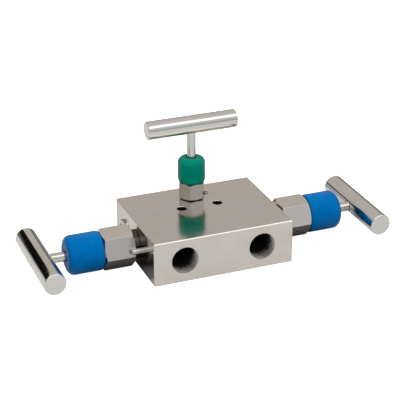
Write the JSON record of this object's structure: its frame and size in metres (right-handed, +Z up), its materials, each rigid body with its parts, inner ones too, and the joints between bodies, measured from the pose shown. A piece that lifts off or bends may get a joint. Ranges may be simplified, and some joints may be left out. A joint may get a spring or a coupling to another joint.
{
  "type": "three-valve instrument manifold",
  "caption": "Steel block with threaded ports, two isolating needle valves on its ends and an equalising needle valve on top, each turned by a T handle.",
  "frame": {"origin": "centre of the block's underside", "axes": "+Z up through the equalising valve's side of the block, +X along the isolating valves to the right-hand one, -Y out of the process ports"},
  "size_m": [0.2422, 0.077, 0.0891],
  "materials": {
    "block_steel": "bar-stock stainless steel, linished faces with a soft mirror",
    "bonnet_steel": "turned and milled stainless steel",
    "fitting_steel": "turned stainless steel",
    "stem_steel": "ground stainless steel",
    "pin_steel": "rolled spring steel",
    "handle_chrome": "polished stainless steel bar",
    "screw_steel": "black oxide",
    "follower_brass": "turned brass",
    "packing_ptfe": "PTFE",
    "seal_graphite": "pressed graphite",
    "blue_cap_plastic": "moulded vinyl, gloss",
    "green_cap_plastic": "moulded vinyl, gloss"
  },
  "bodies": {
    "manifold": {"manifold_block": "block_steel", "left_cross_plug": "fitting_steel", "right_cross_plug": "fitting_steel", "left_bonnet": "bonnet_steel", "left_bonnet_seal": "seal_graphite", "left_seat": "stem_steel", "left_packing_inner": "packing_ptfe", "left_packing_outer": "packing_ptfe", "left_gland_follower": "follower_brass", "left_gland_bolt": "fitting_steel", "left_lock_nut": "fitting_steel", "left_dust_cap": "blue_cap_plastic", "left_lock_pin": "pin_steel", "right_bonnet": "bonnet_steel", "right_bonnet_seal": "seal_graphite", "right_seat": "stem_steel", "right_packing_inner": "packing_ptfe", "right_packing_outer": "packing_ptfe", "right_gland_follower": "follower_brass", "right_gland_bolt": "fitting_steel", "right_lock_nut": "fitting_steel", "right_dust_cap": "blue_cap_plastic", "right_lock_pin": "pin_steel", "top_bonnet": "bonnet_steel", "top_bonnet_seal": "seal_graphite", "top_seat": "stem_steel", "top_packing_inner": "packing_ptfe", "top_packing_outer": "packing_ptfe", "top_gland_follower": "follower_brass", "top_gland_bolt": "fitting_steel", "top_lock_nut": "fitting_steel", "top_dust_cap": "green_cap_plastic", "top_lock_pin": "pin_steel"},
    "left_tip": {"left_needle_tip": "stem_steel"},
    "left_spindle_and_handle": {"left_spindle": "stem_steel", "left_t_handle": "handle_chrome", "left_handle_screw": "screw_steel"},
    "right_tip": {"right_needle_tip": "stem_steel"},
    "right_spindle_and_handle": {"right_spindle": "stem_steel", "right_t_handle": "handle_chrome", "right_handle_screw": "screw_steel"},
    "top_tip": {"top_needle_tip": "stem_steel"},
    "top_spindle_and_handle": {"top_spindle": "stem_steel", "top_t_handle": "handle_chrome", "top_handle_screw": "screw_steel"}
  },
  "joints": [
    {"name": "left_tip_slide", "type": "slide", "parent": "manifold", "child": "left_tip", "axis": [-1, 0, 0], "range_m": [0, 0.00438]},
    {"name": "left_handle_turn", "type": "hinge", "parent": "left_tip", "child": "left_spindle_and_handle", "pos_m": [-0.0485, -0.003, 0.0151], "axis": [-1, 0, 0], "range_deg": [0, 1260]},
    {"name": "right_tip_slide", "type": "slide", "parent": "manifold", "child": "right_tip", "axis": [1, 0, 0], "range_m": [0, 0.00438]},
    {"name": "right_handle_turn", "type": "hinge", "parent": "right_tip", "child": "right_spindle_and_handle", "pos_m": [0.0485, -0.003, 0.0151], "axis": [1, 0, 0], "range_deg": [0, 1260]},
    {"name": "top_tip_slide", "type": "slide", "parent": "manifold", "child": "top_tip", "axis": [0, 0, 1], "range_m": [0, 0.0035]},
    {"name": "top_handle_turn", "type": "hinge", "parent": "top_tip", "child": "top_spindle_and_handle", "pos_m": [0.0004, 0.022, 0.0302], "axis": [0, 0, 1], "range_deg": [0, 1260]}
  ],
  "couplings": [
    {"joint": "left_tip_slide", "follows": "left_handle_turn", "m_per_rad": 0.00019894},
    {"joint": "right_tip_slide", "follows": "right_handle_turn", "m_per_rad": 0.00019894},
    {"joint": "top_tip_slide", "follows": "top_handle_turn", "m_per_rad": 0.00015915}
  ]
}
